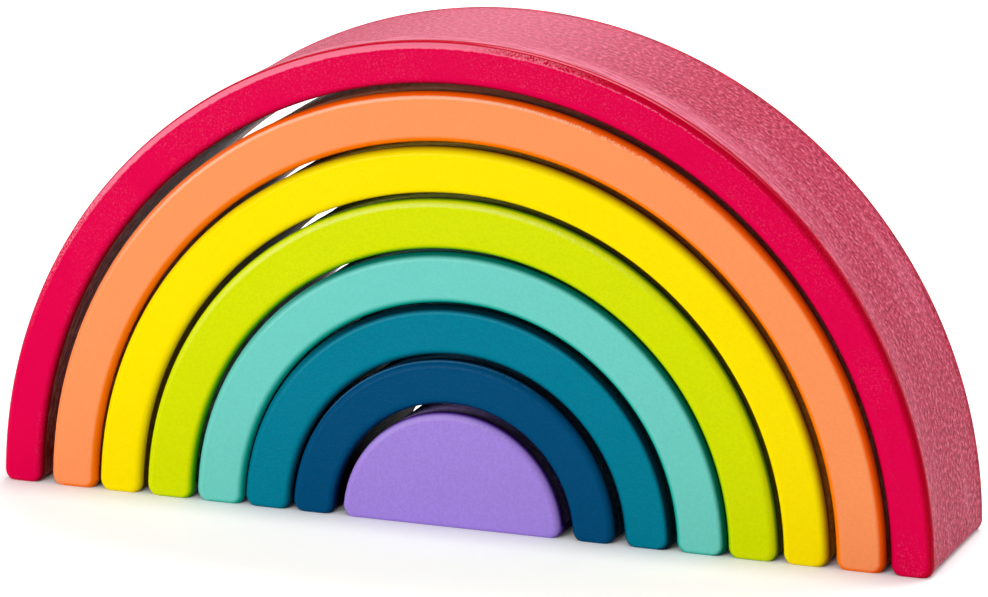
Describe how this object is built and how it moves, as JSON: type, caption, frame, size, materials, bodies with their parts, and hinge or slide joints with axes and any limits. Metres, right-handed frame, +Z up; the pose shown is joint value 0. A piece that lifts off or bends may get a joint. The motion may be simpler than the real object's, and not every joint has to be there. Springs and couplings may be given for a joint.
{
  "type": "rainbow stacker",
  "caption": "Nesting wooden rainbow toy: painted semicircular arches of rising size that stand over one another and over a solid half-round core, each loose.",
  "frame": {"origin": "on the surface the pieces stand on, under the middle of the red arch", "axes": "+X to the right across the arches, +Y from the front faces to the back faces, +Z up"},
  "size_m": [0.3, 0.057, 0.15],
  "materials": {
    "red_wood": "satin paint on rough-sawn curves",
    "orange_wood": "satin paint on rough-sawn curves",
    "yellow_wood": "satin paint on rough-sawn curves",
    "lime_wood": "satin paint on rough-sawn curves",
    "mint_wood": "satin paint on rough-sawn curves",
    "teal_wood": "satin paint on rough-sawn curves",
    "navy_wood": "satin paint on rough-sawn curves",
    "purple_wood": "satin paint on rough-sawn curves"
  },
  "bodies": {
    "core": {"purple_core": "purple_wood"},
    "navy": {"navy_arch": "navy_wood"},
    "teal": {"teal_arch": "teal_wood"},
    "mint": {"mint_arch": "mint_wood"},
    "lime": {"lime_arch": "lime_wood"},
    "yellow": {"yellow_arch": "yellow_wood"},
    "orange": {"orange_arch": "orange_wood"},
    "red": {"red_arch": "red_wood"}
  },
  "joints": [
    {"name": "navy_slide", "type": "slide", "parent": "core", "child": "navy", "axis": [0, 1, 0], "range_m": [-0.062, 0.062]},
    {"name": "teal_slide", "type": "slide", "parent": "navy", "child": "teal", "axis": [0, 1, 0], "range_m": [-0.062, 0.062]},
    {"name": "mint_slide", "type": "slide", "parent": "teal", "child": "mint", "axis": [0, 1, 0], "range_m": [-0.062, 0.062]},
    {"name": "lime_slide", "type": "slide", "parent": "mint", "child": "lime", "axis": [0, 1, 0], "range_m": [-0.062, 0.062]},
    {"name": "yellow_slide", "type": "slide", "parent": "lime", "child": "yellow", "axis": [0, 1, 0], "range_m": [-0.062, 0.062]},
    {"name": "orange_slide", "type": "slide", "parent": "yellow", "child": "orange", "axis": [0, 1, 0], "range_m": [-0.062, 0.062]},
    {"name": "red_slide", "type": "slide", "parent": "orange", "child": "red", "axis": [0, 1, 0], "range_m": [-0.062, 0.062]}
  ]
}
